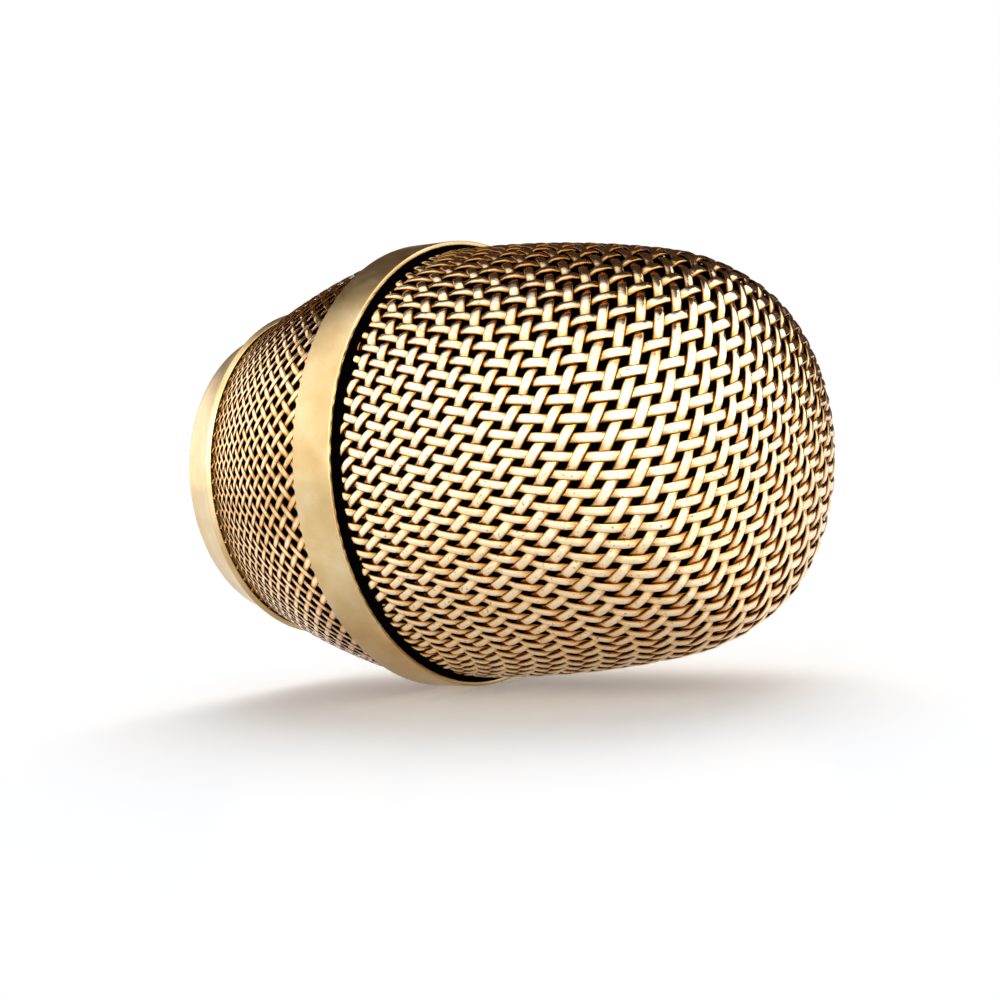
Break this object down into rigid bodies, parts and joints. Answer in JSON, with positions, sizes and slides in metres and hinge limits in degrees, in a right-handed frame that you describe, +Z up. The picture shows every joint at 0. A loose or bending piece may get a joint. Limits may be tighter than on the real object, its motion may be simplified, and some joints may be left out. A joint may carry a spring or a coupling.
{
  "type": "condenser microphone capsule head",
  "caption": "Screw-on vocal condenser microphone head: woven gold dome and cone grilles joined by a satin band, flared collar with handle socket, floating capsule inside.",
  "frame": {"origin": "centre of the bounding box at the surface the head lies on, under its centre band", "axes": "+X along the microphone's axis from the collar's back face to the dome's tip, +Z up; the head lies on its side with its axis level"},
  "size_m": [0.072, 0.051, 0.051],
  "materials": {
    "gold_satin": "satin gold plating over brass",
    "gold_wire_dome": "polished gold-plated wire",
    "gold_wire_cone": "polished gold-plated wire",
    "gold_contact": "bright gold plating",
    "brass": "machined, bare",
    "capsule_brass": "fine turned",
    "screw_steel": "nickel plated",
    "black_screen": "blackened woven screen",
    "foam": "open-cell foam, black",
    "rubber": "matt",
    "black_plastic": "moulded, matt",
    "component_black": "moulded epoxy",
    "white_plastic": "moulded",
    "washer_plastic": "fluoropolymer, waxy",
    "circuit_board": "solder mask over glass-epoxy board",
    "gold_film": "gold-sputtered film, mirror",
    "lead_red": "silicone insulation",
    "lead_white": "silicone insulation",
    "cloth": "fine woven damping cloth"
  },
  "bodies": {
    "base": {"base_collar": "gold_satin", "threaded_neck": "brass", "contact_board": "circuit_board", "contact_ring_outer": "gold_contact", "contact_ring_inner": "gold_contact", "contact_pad": "gold_contact", "board_screw_1": "screw_steel", "board_screw_2": "screw_steel", "board_screw_3": "screw_steel", "board_connector": "white_plastic", "suspension_carrier": "black_plastic", "preamp_board": "circuit_board", "preamp_transistor": "component_black", "coupling_capacitor": "component_black", "suspension_ring_rear": "rubber", "suspension_ring_front": "rubber", "signal_lead_1": "lead_red", "signal_lead_2": "lead_white"},
    "washer": {"slip_washer": "washer_plastic"},
    "grille": {"dome_mesh": "gold_wire_dome", "dome_liner": "black_screen", "dome_foam": "foam", "dome_retainer_ring": "brass", "band_ring": "gold_satin", "cone_retainer_ring": "brass", "cone_mesh": "gold_wire_cone", "cone_foam": "foam", "grille_flange": "brass"},
    "capsule": {"capsule_housing": "capsule_brass", "front_grid": "screw_steel", "diaphragm_ring": "capsule_brass", "diaphragm": "gold_film", "spacer_ring": "white_plastic", "backplate": "capsule_brass", "insulator": "white_plastic", "damping_cloth": "cloth", "contact_pin": "gold_contact", "rear_cap": "white_plastic"}
  },
  "joints": [
    {"name": "grille_travel", "type": "slide", "parent": "base", "child": "washer", "axis": [1, 0, 0], "range_m": [0, 0.003]},
    {"name": "grille_turn", "type": "hinge", "parent": "washer", "child": "grille", "pos_m": [0, 0, 0.0255], "axis": [1, 0, 0], "range_deg": [0, 1080]},
    {"name": "capsule_float", "type": "slide", "parent": "base", "child": "capsule", "axis": [1, 0, 0], "range_m": [-0.0008, 0.0008], "stiffness_N_per_m": 900, "deforming": ["suspension_ring_rear", "suspension_ring_front", "signal_lead_1", "signal_lead_2"]}
  ],
  "couplings": [
    {"joint": "grille_travel", "follows": "grille_turn", "m_per_rad": 0.00015915}
  ]
}
